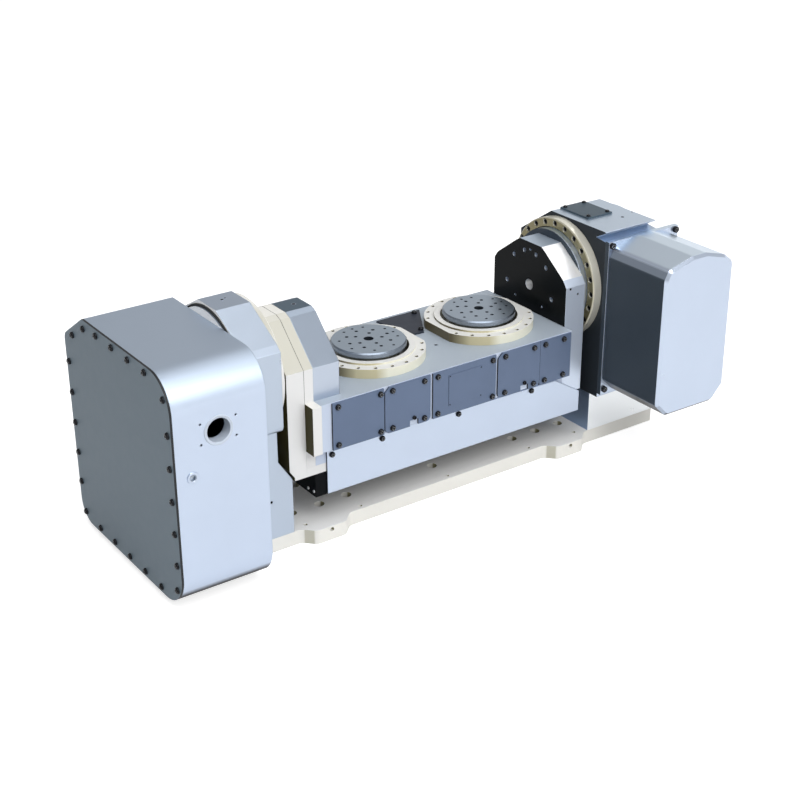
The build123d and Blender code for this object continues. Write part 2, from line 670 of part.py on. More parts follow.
with BuildPart() as booster:
    with BuildSketch(level(-BOOSTER_BOTTOM, BOOSTER_X)):
        with Locations((0, unit_back - BOOSTER_OUT)):
            Circle(BOOSTER_R)
    extrude(amount=BOOSTER_LENGTH)
    foot_width, foot_height = BOOSTER_FOOT
    with BuildSketch(level(-foot_height * 0.75, BOOSTER_X)):
        with Locations((0, unit_back - BOOSTER_OUT / 2)):
            Rectangle(foot_width, BOOSTER_OUT)
    extrude(amount=foot_height)
finish(booster, "clamp_booster")

# Cradle beam: a deep head over a narrower sill, bored for the two spindle motors
with BuildPart() as beam:
    prism(station(BEAM_LEFT), mirrored([(HEAD_HALF, -BEAM_TOP), (HEAD_HALF, -HEAD_BOTTOM),
                                        (SILL_HALF, -HEAD_BOTTOM), (SILL_HALF, -BEAM_BOTTOM)]),
          BEAM_RIGHT - BEAM_LEFT)
    for x in SPINDLE_X:
        tube(level(-BEAM_TOP, x), SPINDLE_BORE_R, SPINDLE_FLOOR_Z - BEAM_TOP_Z,
             mode=Mode.SUBTRACT)
    for left, right in zip(COVER_LEFTS, COVER_RIGHTS):
        with BuildSketch(front(-HEAD_HALF)):
            with Locations(((left + right) / 2, -(COVER_TOP + HEAD_BOTTOM) / 2)):
                Rectangle(right - left - 2 * POCKET_RIM, HEAD_BOTTOM - COVER_TOP - 2 * POCKET_RIM)
        extrude(amount=-POCKET_DEPTH, mode=Mode.SUBTRACT)
    vent_y, vent_r, vent_depth = BEAM_VENT
    tube(Plane(origin=(0, -vent_y, BEAM_TOP_Z), x_dir=(1, 0, 0), z_dir=(0, 0, 1)), vent_r,
         -vent_depth, mode=Mode.SUBTRACT)
finish(beam, "cradle_beam")

# Left arm, end plate and flange plate share one upper outline
left_shoulder = [(79.5, 6.5), (27.0, 57.5), (17.0, LEFT_TOP)]
with BuildPart() as left_arm:
    prism(station(BEAM_LEFT), mirrored([(79.5, -BEAM_TOP)] + left_shoulder), LEFT_ARM_T)
finish(left_arm, "left_arm")

with BuildPart() as end_plate:
    prism(station(END_PLATE_LEFT), mirrored(
        [(SILL_HALF, -BEAM_BOTTOM), (SILL_HALF, -HEAD_BOTTOM), (COVER_FACE, -HEAD_BOTTOM),
         (COVER_FACE, -BEAM_TOP), (79.5, -BEAM_TOP)] + left_shoulder), END_PLATE_T)
finish(end_plate, "end_plate")

with BuildPart() as flange_plate:
    prism(station(FLANGE_PLATE_LEFT), mirrored([(SILL_HALF, -FOOT_BOTTOM)] + left_shoulder),
          FLANGE_PLATE_T)
    prism(station(END_PLATE_LEFT), mirrored([(SILL_HALF, -FOOT_BOTTOM),
                                             (SILL_HALF, -BEAM_BOTTOM)]), FOOT_LENGTH)
    cut_run, cut_from, cut_to = SWING_CUT
    prism(front(-SILL_HALF), [
        (FLANGE_PLATE_LEFT, -cut_from), (FLANGE_PLATE_LEFT + cut_run, -cut_to),
        (FLANGE_PLATE_LEFT + cut_run, -FOOT_BOTTOM), (FLANGE_PLATE_LEFT, -FOOT_BOTTOM)],
        -2 * SILL_HALF, Mode.SUBTRACT)
finish(flange_plate, "flange_plate")

# Right arm, with its centre bore and bolt circle on the inner face
right_shoulder = [(SILL_HALF, 18.0), (73.0, 28.0), (32.0, 58.0), (24.0, RIGHT_TOP)]
with BuildPart() as right_arm:
    prism(station(BEAM_RIGHT), mirrored([(SILL_HALF, -FOOT_BOTTOM)] + right_shoulder),
          RIGHT_ARM_T)
    tube(station(BEAM_RIGHT), ARM_BORE_R, RIGHT_ARM_T, mode=Mode.SUBTRACT)
    studs(station(BEAM_RIGHT), on_circle(ARM_BOLT_PCR, ARM_BOLT_ANGLES), ARM_BOLT_R,
          ARM_BOLT_DEPTH, 12, Mode.SUBTRACT)
    studs(station(BEAM_RIGHT), [on_circle(radius, [angle])[0] for radius, angle in ARM_PINS],
          ARM_PIN_R, ARM_PIN_DEPTH, mode=Mode.SUBTRACT)
finish(right_arm, "right_arm")


# Front covers, each with four screws; two of them are cut out round a plug
def cover_screw_points(left, right, insets):
    """Screw centres of one front cover."""
    rows = (-COVER_TOP - COVER_SCREW_ROW, COVER_SCREW_ROW - HEAD_BOTTOM)
    return [(x, r) for x in (left + insets[0], right - insets[1]) for r in rows]


plug_x = []
all_cover_screws = []
for number, (left, right) in enumerate(zip(COVER_LEFTS, COVER_RIGHTS), start=1):
    all_cover_screws += cover_screw_points(left, right, COVER_SCREW_INSETS[number - 1])
    notched = number in (2, 4)
    with BuildPart() as cover:
        with BuildSketch(front(-HEAD_HALF)) as cover_sketch:
            with Locations(((left + right) / 2, -(COVER_TOP + HEAD_BOTTOM) / 2)):
                Rectangle(right - left, HEAD_BOTTOM - COVER_TOP)
            if notched:
                chamfer(corner(cover_sketch, (left, -COVER_TOP, 0)), length=COVER_CORNER)
                fillet([corner(cover_sketch, (x, -HEAD_BOTTOM, 0)) for x in (left, right)],
                       radius=COVER_CORNER)
                plug_x.append(right - PLUG_INSET)
                with Locations((right - PLUG_INSET, -HEAD_BOTTOM)):
                    Rectangle(PLUG_NOTCH[0], 2 * PLUG_NOTCH[1], mode=Mode.SUBTRACT)
        extrude(amount=COVER_T)
    finish(cover, f"front_cover_{number}")

with BuildPart() as cover_screws:
    studs(front(-COVER_FACE), all_cover_screws, COVER_SCREW_R, COVER_SCREW_H)
    studs(front(-SILL_HALF - GUARD_T), [(x, -GUARD_TOP - GUARD_SCREW_DROP) for x in GUARD_SCREW_X],
          COVER_SCREW_R, COVER_SCREW_H)
    studs(level(-BEAM_TOP + BACK_COVER_T), BACK_COVER_SCREWS, COVER_SCREW_R, COVER_SCREW_H)
finish(cover_screws, "cradle_cover_screws")

with BuildPart() as port_plugs:
    studs(front(-COVER_FACE), [(x, PLUG_NOTCH[1] + PLUG_R - HEAD_BOTTOM) for x in plug_x],
          PLUG_R, PLUG_H)
finish(port_plugs, "port_plugs")

# Lower guard panel and the box behind it
with BuildPart() as guard_panel:
    with BuildSketch(front(-SILL_HALF)) as guard_sketch:
        with BuildLine():
            Polyline((-GUARD_HALF, -GUARD_BOTTOM), (-GUARD_HALF, -GUARD_TOP),
                     (GUARD_HALF - GUARD_CORNER[0], -GUARD_TOP - 4),
                     (GUARD_HALF, -GUARD_TOP - 4 - GUARD_CORNER[1]),
                     (GUARD_HALF, -GUARD_BOTTOM), close=True)
        make_face()
    extrude(amount=GUARD_T)
finish(guard_panel, "guard_panel")

foot_right = END_PLATE_LEFT + FOOT_LENGTH
with BuildPart() as lower_box:
    prism(front(-SILL_HALF), [
        (BOX_LEFT, -BOX_BOTTOM), (BOX_LEFT, -FOOT_BOTTOM), (foot_right, -FOOT_BOTTOM),
        (foot_right, -BEAM_BOTTOM), (BEAM_RIGHT, -BEAM_BOTTOM), (BEAM_RIGHT, -FOOT_BOTTOM),
        (BOX_RIGHT, -FOOT_BOTTOM), (BOX_RIGHT, -BOX_BOTTOM)], -2 * SILL_HALF)
finish(lower_box, "lower_box")

# Back cover on the beam between the spindle rings
with BuildPart() as back_cover:
    prism(level(-BEAM_TOP), BACK_COVER_OUTLINE, BACK_COVER_T)
finish(back_cover, "beam_top_cover")


# Spindles: bearing ring and direct drive motor in the beam, faceplate on a hollow shaft
def ring_screw_angles():
    """Angles of the bearing ring's screws: an 18 degree pitch, left out beside the two flats."""
    return [s * (27 + 18 * i) for s in (-1, 1) for i in range(8)]


def faceplate_angles():
    """Hole angles of the outer circle, on a 22.5 degree grid with gaps."""
    return [0, 22.5, -22.5, 67.5, -67.5, 90, 112.5, -112.5, 157.5, -157.5]


stator_top_z = BEAM_TOP_Z - BEARING_H - MOTOR_END_GAP
for name, x in zip(SPINDLE_NAMES, SPINDLE_X):
    with BuildPart() as bearing_ring:
        with BuildSketch(level(-BEAM_TOP, x)):
            Circle(RING_R)
            Rectangle(2 * RING_FLAT, 2 * RING_R, mode=Mode.INTERSECT)
            Circle(RING_BORE, mode=Mode.SUBTRACT)
        extrude(amount=RING_T)
        tube(level(-BEAM_TOP + RING_T, x), RING_LIP_R, RING_LIP_H, RING_BORE)
        studs(level(-BEAM_TOP + RING_T, x), on_circle(RING_SCREW_PCR, ring_screw_angles()),
              RING_CBORE_R, -RING_CBORE_DEPTH, mode=Mode.SUBTRACT)
    finish(bearing_ring, f"spindle_ring_{name}")

    with BuildPart() as faceplate:
        with BuildSketch(Plane(origin=(x, 0, FACEPLATE_UNDER_Z), x_dir=(1, 0, 0),
                               z_dir=(0, 0, 1))):
            Circle(FACEPLATE_R)
            Circle(FACEPLATE_BORE, mode=Mode.SUBTRACT)
            with Locations(*on_circle(INNER_PCR, [-90 + 72 * k for k in range(5)])):
                Circle(FACEPLATE_HOLE_R, mode=Mode.SUBTRACT)
            with Locations(*on_circle(MIDDLE_PCR, [45 * k for k in range(8)])):
                Circle(FACEPLATE_HOLE_R, mode=Mode.SUBTRACT)
            with Locations(*on_circle(OUTER_PCR, faceplate_angles())):
                RegularPolygon(OUTER_HOLE_R, 12, mode=Mode.SUBTRACT)
        extrude(amount=FACEPLATE_T)
        rim = faceplate.faces().sort_by(Axis.Z)[-1].edges().filter_by(GeomType.CIRCLE)
        chamfer(rim.sort_by(SortBy.RADIUS)[-1], length=FACEPLATE_EDGE)
    finish(faceplate, f"faceplate_{name}")

    stator_plane = Plane(origin=(x, 0, stator_top_z), x_dir=(1, 0, 0), z_dir=(0, 0, 1))
    shaft_bottom_z = stator_top_z - STATOR_H - MOTOR_END_GAP
    with BuildPart() as shaft:
        under = Plane(origin=(x, 0, FACEPLATE_UNDER_Z), x_dir=(1, 0, 0), z_dir=(0, 0, 1))
        tube(under, SHAFT_R, shaft_bottom_z - FACEPLATE_UNDER_Z, SHAFT_BORE)
        tube(stator_plane, SPINDLE_BORE_R - STATOR_T - AIR_GAP, -STATOR_H, SHAFT_R - 1)
    finish(shaft, f"spindle_rotor_{name}")

    bearing_plane = Plane(origin=(x, 0, BEAM_TOP_Z), x_dir=(1, 0, 0), z_dir=(0, 0, 1))
    inner_race_r = SHAFT_R + BEARING_RACE
    with BuildPart() as outer_race:
        tube(bearing_plane, SPINDLE_BORE_R, -BEARING_H, inner_race_r + ROLLER_GAP)
    finish(outer_race, f"spindle_bearing_outer_{name}")
    with BuildPart() as inner_race:
        tube(bearing_plane, inner_race_r, -BEARING_H, SHAFT_R)
    finish(inner_race, f"spindle_bearing_inner_{name}")

    with BuildPart() as stator:
        tube(stator_plane, SPINDLE_BORE_R, -STATOR_H, SPINDLE_BORE_R - STATOR_T)
    finish(stator, f"spindle_stator_{name}")

with BuildPart() as ring_screws:
    for x in SPINDLE_X:
        studs(level(-BEAM_TOP + RING_T - RING_CBORE_DEPTH, x),
              on_circle(RING_SCREW_PCR, ring_screw_angles()), RING_SCREW_R, RING_SCREW_H)
finish(ring_screws, "spindle_ring_screws")

# Screws of the clamp unit and of the support panel
with BuildPart() as unit_screws:
    studs(front(unit_back), [(x, r) for x in UNIT_EARS_X for r in UNIT_EARS_R],
          EAR_SCREW_R, EAR_SCREW_H)
finish(unit_screws, "clamp_unit_screws")

with BuildPart() as panel_screws:
    studs(level(SUPPORT_TOP + PANEL_T), [
        (panel_mid[0] + sx * (panel_size[0] / 2 - PANEL_SCREW_INSET),
         panel_mid[1] + sy * (panel_size[1] / 2 - PANEL_SCREW_INSET))
        for sx in (-1, 1) for sy in (-1, 1)], PANEL_SCREW_R, PANEL_SCREW_H)
finish(panel_screws, "support_panel_screws")
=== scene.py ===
"""Looks of the tilting rotary table: materials, screws and small fittings, light and camera.

Metres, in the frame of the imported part: X along the tilt axis, -Y to the operator, Z up.
"""
import json
from math import cos, pi, radians, sin
from types import SimpleNamespace

import bmesh
import bpy
from mathutils import Matrix, Vector


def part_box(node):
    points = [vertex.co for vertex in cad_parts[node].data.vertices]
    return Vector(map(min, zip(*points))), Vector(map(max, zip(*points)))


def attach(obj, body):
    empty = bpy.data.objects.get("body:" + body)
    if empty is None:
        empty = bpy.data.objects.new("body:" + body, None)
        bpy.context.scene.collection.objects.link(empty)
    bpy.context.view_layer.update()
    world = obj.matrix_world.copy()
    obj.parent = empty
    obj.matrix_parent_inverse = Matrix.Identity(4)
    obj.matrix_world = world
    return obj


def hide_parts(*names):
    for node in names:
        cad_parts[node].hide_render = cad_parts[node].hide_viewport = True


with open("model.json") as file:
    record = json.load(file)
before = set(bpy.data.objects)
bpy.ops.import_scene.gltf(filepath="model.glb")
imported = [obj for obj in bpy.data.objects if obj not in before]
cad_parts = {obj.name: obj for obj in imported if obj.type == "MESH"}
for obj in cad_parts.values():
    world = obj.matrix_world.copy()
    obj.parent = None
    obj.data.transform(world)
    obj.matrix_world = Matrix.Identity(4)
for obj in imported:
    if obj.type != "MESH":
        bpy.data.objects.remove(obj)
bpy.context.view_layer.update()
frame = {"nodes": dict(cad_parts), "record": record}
NODES = frame["nodes"]
TILT_HEIGHT = 0.240         # of the tilt axis above the base

# Camera, fitted to the photograph's straight edges
CAMERA_AT = (-1.1301, -1.5520, 1.0300)
CAMERA_YAW = 35.03          # degrees from +Y towards +X
CAMERA_DROP = 25.67         # degrees below the horizon
CAMERA_ROLL = 0.17
CAMERA_LENS = 68.19         # mm
SENSOR_WIDTH = 36.0         # mm
CAMERA_REACH = 100.0

# Lamps: place, target, width and depth, watts
MIDDLE = (0, 0, 0.2)
LAMPS = {
    "overhead": ((-0.5, -1.0, 3.3), MIDDLE, (2.4, 2.4), 50),
    "front": ((0.1, -3.0, 2.5), MIDDLE, (2.2, 2.2), 78),
    "side_top": ((1.55, -0.35, 2.45), (0.2, 0, 0.3), (0.5, 0.5), 2.2),
    "edge": ((1.6, 0.8, 2.85), (1.6, 0.8, 0.0), (1.8, 0.5), 5),
}

# Room: tones by height from the horizon, 0, to the zenith, 1, and strength by direction along X
ROOM_TONES = ((0.0, 1.0), (0.12, 0.85), (0.30, 0.43), (1.0, 0.46))
ROOM_STRENGTH = {"From Min": 0.36, "From Max": 0.66, "To Min": 0.90, "To Max": 1.35}

# Floor
FLOOR_REACH = 30.0
FLOOR_DROP = 0.0005         # below the base
FLOOR_TONE = 0.60
CAMERA_GLOW = 0.70          # glow that the camera sees
MIRROR_GLOW = 0.36          # glow that reflections and glass see

# Surface noise
TONE_DETAIL = 4.0
GRAIN_DETAIL = 2.0
ROUGH_DETAIL = 3.0
TONE_PLACES = (0.3, 0.7)    # of the darkest and the lightest tone in the noise
MASK_EDGE = 0.2             # how softly painted light or shade by direction ends, as a cosine
MOST_COSINE = 0.999
BEVEL_SAMPLES = 6
MATTE_GLOSS = 0.08          # specular level of paints with a matte side

# Screw heads, as shares of the head's radius and height
HEAD_SEGMENTS = 24
BUTTON_PROFILE = ((1.0, 0.0), (1.0, 0.25), (0.94, 0.55), (0.80, 0.82), (0.62, 0.97), (0.56, 1.0))
CAP_PROFILE = ((1.0, 0.0), (1.0, 0.90), (0.93, 1.0), (0.62, 1.0))
SOCKET_SIZE = 0.50          # apothem of the hex socket
SOCKET_DEPTH = 0.62
SOCKET_TOP = 0.985          # how high the bare wall of the socket reaches
SOCKET_GAP = 0.00002        # metres between the socket and its bare wall
SOCKET_WALL = 0.00022       # metres that the bare wall reaches in
MERGE = 1e-6                # points closer than this are one

# Edges sharper than these angles stay hard, in degrees
SMOOTH_ANGLE = 32
HEAD_SMOOTH_ANGLE = 40
THREAD_SMOOTH_ANGLE = 20


def mesh_object(name, bm, body, slot, material=None, smooth_angle=SMOOTH_ANGLE):
    """Turn a bmesh into a piece that rides on a body, in its slot's material or one of its own."""
    mesh = bpy.data.meshes.new(name)
    bm.normal_update()
    bm.to_mesh(mesh)
    bm.free()
    piece = bpy.data.objects.new(name, mesh)
    bpy.context.scene.collection.objects.link(piece)
    mesh.materials.append(material or MATERIALS[slot])
    mesh.shade_smooth()
    mesh.set_sharp_from_angle(angle=radians(smooth_angle))
    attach(piece, body)
    return piece


def node_tree(name):
    """A new material with its nodes, links and main shader."""
    material = bpy.data.materials.new(name)
    material.use_nodes = True
    tree = material.node_tree
    return SimpleNamespace(material=material, nodes=tree.nodes, links=tree.links,
                           shader=tree.nodes["Principled BSDF"])


def new_node(tree, kind, inputs=None, **settings):
    """A new node, with its settings and the values of some inputs."""
    node = tree.nodes.new(kind)
    for name, value in settings.items():
        setattr(node, name, value)
    for socket, value in (inputs or {}).items():
        node.inputs[socket].default_value = value
    return node


def math_node(tree, operation, *terms):
    """Arithmetic on numbers and on other nodes' outputs."""
    node = new_node(tree, "ShaderNodeMath", operation=operation)
    for socket, term in zip(node.inputs, terms):
        if isinstance(term, float):
            socket.default_value = term
        else:
            tree.links.new(term, socket)
    return node.outputs["Value"]


def map_range(tree, value, limits):
    """A value moved from one range to another."""
    node = new_node(tree, "ShaderNodeMapRange", limits)
    tree.links.new(value, node.inputs["Value"])
    return node.outputs["Result"]


def noise_value(tree, scale, detail):
    """Noise in the piece's own frame."""
    noise = new_node(tree, "ShaderNodeTexNoise", {"Scale": scale, "Detail": detail})
    tree.links.new(tree.coord.outputs["Object"], noise.inputs["Vector"])
    return noise.outputs["Fac"]


def tone_noise(tree, colour, scale, strength):
    """A colour that varies a little over the surface."""
    noise = noise_value(tree, scale, TONE_DETAIL)
    ramp = new_node(tree, "ShaderNodeValToRGB")
    low = [max(0.0, c * (1 - strength)) for c in colour]
    high = [min(1.0, c * (1 + strength)) for c in colour]
    for element, place, tone in zip(ramp.color_ramp.elements, TONE_PLACES, (low, high)):
        element.position = place
        element.color = (*tone, 1)
    tree.links.new(noise, ramp.inputs["Fac"])
    return ramp.outputs["Color"]


def side_mask(tree, direction, sharp):
    """One where the surface faces a direction of the part's own frame, and zero elsewhere."""
    dot = new_node(tree, "ShaderNodeVectorMath", {1: direction}, operation="DOT_PRODUCT")
    tree.links.new(tree.coord.outputs["Normal"], dot.inputs[0])
    return map_range(tree, dot.outputs["Value"],
                     {"From Min": sharp, "From Max": min(MOST_COSINE, sharp + MASK_EDGE)})


def mix_colour(tree, factor, first, second):
    """Mix a linked colour with a plain one."""
    mix = new_node(tree, "ShaderNodeMix", data_type="RGBA")
    tree.links.new(factor, mix.inputs["Factor"])
    tree.links.new(first, mix.inputs["A"])
    mix.inputs["B"].default_value = (*second, 1)
    return mix.outputs["Result"]


def with_painted_shading(name, colour, sides, scale, strength):
    """A new material of a slightly varied colour, with painted light or shade on faces of some
    directions.
    """
    tree = node_tree(name)
    tree.coord = new_node(tree, "ShaderNodeTexCoord")
    tone = tone_noise(tree, colour, scale, strength)
    # lay each direction's painted light or shade over the tone
    for direction, painted_tone, sharp in sides:
        tone = mix_colour(tree, side_mask(tree, direction, sharp), tone, painted_tone)
    tree.links.new(tone, tree.shader.inputs["Base Color"])
    return tree


def set_metal(tree, metallic, matte):
    """Metal all over, or none of it where the surface faces the matte direction."""
    if matte is None:
        tree.shader.inputs["Metallic"].default_value = metallic
        return
    value = map_range(tree, side_mask(tree, *matte), {"To Min": metallic, "To Max": 0.0})
    tree.links.new(value, tree.shader.inputs["Metallic"])
    tree.shader.inputs["Specular IOR Level"].default_value = MATTE_GLOSS


def rough_noise(tree, rough, scale):
    """Roughness that varies between two values."""
    noise = noise_value(tree, scale, ROUGH_DETAIL)
    low, high = rough
    value = map_range(tree, noise, {"To Min": low, "To Max": high})
    tree.links.new(value, tree.shader.inputs["Roughness"])


def relief(tree, height, strength, distance):
    """Bumps of a given height in the surface."""
    bump = new_node(tree, "ShaderNodeBump", {"Strength": strength, "Distance": distance})
    tree.links.new(height, bump.inputs["Height"])
    tree.links.new(bump.outputs["Normal"], tree.shader.inputs["Normal"])
    return bump


def fine_bump(tree, scale, distance, strength, edge=0.0):
    """A fine grain in the surface, and rounded edges where a radius is given."""
    bump = relief(tree, noise_value(tree, scale, GRAIN_DETAIL), strength, distance)
    if edge:
        rounded = new_node(tree, "ShaderNodeBevel", {"Radius": edge}, samples=BEVEL_SAMPLES)
        tree.links.new(rounded.outputs["Normal"], bump.inputs["Normal"])


def metallic_paint(name, colour, sides=(), metallic=0.92, rough=(0.26, 0.32), matte=None):
    """Silver blue paint with fine flake; faces of a given direction can carry painted light or
    shade.
    """
    tree = with_painted_shading(name, colour, sides, scale=14.0, strength=0.015)
    set_metal(tree, metallic, matte)
    rough_noise(tree, rough, scale=60.0)
    fine_bump(tree, scale=900.0, distance=0.00004, strength=0.15, edge=0.0014)
    return tree.material


def ivory_finish(name, colour, sides=(), metallic=0.10, rough=(0.36, 0.44), matte=None):
    """Smooth ivory finish; faces of a given direction can carry painted light or shade."""
    tree = with_painted_shading(name, colour, sides, scale=10.0, strength=0.02)
    set_metal(tree, metallic, matte)
    rough_noise(tree, rough, scale=80.0)
    fine_bump(tree, scale=700.0, distance=0.00004, strength=0.12, edge=0.0008)
    return tree.material


def satin(name, colour, metallic=0.0, rough=(0.40, 0.48), sides=(), gloss=0.5):
    """Satin coating or rubber with a fine grain; faces of a given direction can carry another tone,
    such as painted shade.
    """
    tree = with_painted_shading(name, colour, sides, scale=20.0, strength=0.04)
    tree.shader.inputs["Metallic"].default_value = metallic
    tree.shader.inputs["Specular IOR Level"].default_value = gloss
    rough_noise(tree, rough, scale=90.0)
    fine_bump(tree, scale=500.0, distance=0.00005, strength=0.2)
    return tree.material


def turned_steel(name, colour, centre=None, sides=()):
    """Steel turned on a lathe: fine rings round a centre, or plain ground steel."""
    tree = with_painted_shading(name, colour, sides, scale=30.0, strength=0.04)
    tree.shader.inputs["Metallic"].default_value = 1.0
    rough_noise(tree, rough=(0.30, 0.38), scale=200.0)
    if centre is None:
        fine_bump(tree, scale=1500.0, distance=0.00003, strength=0.15)
        return tree.material
    shift = new_node(tree, "ShaderNodeMapping", {"Location": (-centre[0], -centre[1], 0)})
    tree.links.new(tree.coord.outputs["Object"], shift.inputs["Vector"])
    wave = new_node(tree, "ShaderNodeTexWave", {"Scale": 420.0, "Distortion": 0.0},
                    wave_type="RINGS", rings_direction="Z")
    tree.links.new(shift.outputs["Vector"], wave.inputs["Vector"])
    relief(tree, wave.outputs["Fac"], strength=0.12, distance=0.00005)
    return tree.material


LEFT, RIGHT, FRONT = (-1, 0, 0), (1, 0, 0), (0, -1, 0)
UP, DOWN = (0, 0, 1), (0, 0, -1)
SLANT = (0.0, -0.59, 0.807)         # slanted facets that face up and to the front

# Painted shade on sides that face away from the light: the direction, the colour, and the least
# cosine to that direction
# left faces of the silver paints painted dark blue grey, as shade
SILVER_LEFT_SHADE = (LEFT, (0.046, 0.060, 0.078), 0.75)
# downward faces painted near black, as shade
SILVER_DOWN_SHADE = (DOWN, (0.012, 0.014, 0.020), 0.45)
# left faces of the ivory paint painted dark olive, as shade
IVORY_LEFT_SHADE = (LEFT, (0.045, 0.038, 0.010), 0.6)

# Matte sides, where a side's painted light or shade shows without reflections: the direction and
# the least cosine to it
MATTE_LEFT = (LEFT, 0.75)
MATTE_LEFT_WIDE = (LEFT, 0.6)

# Materials by the record's slots
SILVER = (0.585, 0.665, 0.80)
MATERIALS = {
    # left and downward faces painted dark as shade, and tops painted lighter as light
    "silver_paint": metallic_paint(
        "silver_paint", SILVER, [SILVER_LEFT_SHADE, SILVER_DOWN_SHADE, (UP, (0.76, 0.87, 0.98), 0.85)],
        matte=MATTE_LEFT),
    # left faces painted dark, as shade
    "panel_paint": metallic_paint("panel_paint", SILVER, [SILVER_LEFT_SHADE]),
    # left faces painted dark olive as shade, slanted facets painted darker as shade, and fronts
    # painted a whiter tone as light
    "ivory_paint": ivory_finish(
        "ivory_paint", (0.74, 0.73, 0.69),
        [IVORY_LEFT_SHADE, (SLANT, (0.50, 0.49, 0.43), 0.9), (FRONT, (0.735, 0.735, 0.73), 0.8)],
        matte=MATTE_LEFT_WIDE),
    # left faces painted near black, as shade
    "slate_paint": satin(
        "slate_paint", (0.115, 0.158, 0.250), 0.35, sides=[(LEFT, (0.004, 0.005, 0.007), 0.6)]),
    "black_box": satin("black_box", (0.002, 0.003, 0.004), rough=(0.6, 0.7), gloss=0.1),
    "black_steel": satin("black_steel", (0.008, 0.009, 0.012), 0.6, (0.28, 0.36)),
    "machined_steel": turned_steel("machined_steel", (0.42, 0.47, 0.54)),
    "bearing_steel": turned_steel("bearing_steel", (0.55, 0.56, 0.57)),
    "motor_case": satin("motor_case", (0.06, 0.06, 0.065), 0.4),
    "belt_rubber": satin("belt_rubber", (0.02, 0.02, 0.02), rough=(0.7, 0.8)),
}

# Materials of single nodes and fittings
PLAIN_SILVER = metallic_paint("silver_fitting", SILVER)
PORT_COAT = satin("port_coat", (0.50, 0.56, 0.65))
# downward faces painted near black as shade, and tops and slanted facets painted darker than the
# fronts as dimmer light
HOUSING_PAINT = metallic_paint(
    "silver_housing", SILVER,
    [SILVER_DOWN_SHADE, (UP, (0.50, 0.58, 0.69), 0.85), (SLANT, (0.49, 0.57, 0.68), 0.7)],
    rough=(0.42, 0.48))
# tops and slanted facets painted lighter as light, and left faces painted white as light
PEDESTAL_PAINT = metallic_paint(
    "silver_pedestal", (0.49, 0.56, 0.66),
    [(UP, (0.50, 0.58, 0.70), 0.85), (SLANT, (0.62, 0.71, 0.84), 0.9),
     (LEFT, (1.0, 1.0, 1.0), 0.75)], matte=MATTE_LEFT)
# tops painted darker than the fronts, as shade
BEAM_PAINT = metallic_paint(
    "silver_beam", (0.52, 0.59, 0.72), [(UP, (0.37, 0.425, 0.49), 0.80)], 0.15, (0.45, 0.55))
# left faces painted near black as shade, tops painted darker as shade, and the slanted facet
# painted near white as a highlight
ARM_PAINT = metallic_paint(
    "silver_arm", (0.66, 0.74, 0.87),
    [(LEFT, (0.004, 0.005, 0.006), 0.6), (UP, (0.46, 0.54, 0.64), 0.85),
     (SLANT, (0.96, 0.97, 0.98), 0.97)], 0.6, matte=MATTE_LEFT_WIDE)
# tops painted dark and slanted facets darker than the front, as shade
LEFT_ARM_PAINT = metallic_paint(
    "silver_left_arm", (0.52, 0.58, 0.68),
    [(UP, (0.12, 0.18, 0.24), 0.85), (SLANT, (0.37, 0.43, 0.52), 0.9)])
# left faces painted slate blue, as shade
STAND_PAINT = metallic_paint(
    "silver_stand", (0.94, 0.97, 1.0), [(LEFT, (0.27, 0.36, 0.52), 0.6)], 0.85)
SIDE_COVER = satin(
    "side_cover_paint", (0.010, 0.012, 0.015), 0.25, (0.42, 0.50),
    [(LEFT, (0.128, 0.176, 0.218), 0.6)])
TOP_COVER = satin("top_cover_paint", (0.055, 0.085, 0.112), 0.35)
BEAM_COVER = satin("beam_cover_paint", (0.030, 0.036, 0.052), 0.30, gloss=0.25)
# left faces painted dark olive, as shade
RING_GOLD = ivory_finish(
    "ivory_ring", (0.80, 0.78, 0.68), [(LEFT, (0.25, 0.22, 0.12), 0.6)], 0.50, (0.18, 0.24))
# left faces painted near black as shade, and tops painted lighter as light
SUPPORT_PAINT = metallic_paint(
    "silver_support", SILVER,
    [(LEFT, (0.027, 0.033, 0.041), 0.75), (UP, (0.64, 0.74, 0.86), 0.85)], matte=MATTE_LEFT)
# faces turned to the left painted darker in two steps as shade, and tops painted a less yellow tone
# as light
SPINDLE_RING = ivory_finish(
    "ivory_spindle", (0.76, 0.745, 0.62),
    [(LEFT, (0.52, 0.47, 0.30), 0.25), (LEFT, (0.115, 0.095, 0.050), 0.72),
     (UP, (0.70, 0.70, 0.68), 0.6)])
# tops painted lighter as light, and left faces painted dark olive as shade
BASE_IVORY = ivory_finish(
    "ivory_base", (0.80, 0.79, 0.745),
    [(UP, (0.86, 0.86, 0.85), 0.8), (LEFT, (0.30, 0.28, 0.17), 0.6)], matte=MATTE_LEFT_WIDE)
OVERRIDES = {
    "left_pedestal": PEDESTAL_PAINT, "drive_housing": HOUSING_PAINT, "drive_cover": SIDE_COVER,
    "right_support": SUPPORT_PAINT, "right_stand": STAND_PAINT, "base_plate": BASE_IVORY,
    "cradle_beam": BEAM_PAINT, "left_arm": LEFT_ARM_PAINT, "right_arm": ARM_PAINT,
    "clamp_unit_plate": MATERIALS["silver_paint"], "right_trunnion": MATERIALS["silver_paint"],
    "right_trunnion_ring": RING_GOLD, "air_port_bush": PLAIN_SILVER,
    "spindle_ring_left": SPINDLE_RING, "spindle_ring_right": SPINDLE_RING,
    "beam_top_cover": BEAM_COVER, "support_panel": TOP_COVER,
}
# faceplate steel: darker sides, and tops painted lighter as light
FACEPLATE_STEEL = (0.24, 0.28, 0.34)
FACEPLATE_LIT_TOP = (UP, (0.46, 0.54, 0.63), 0.75)


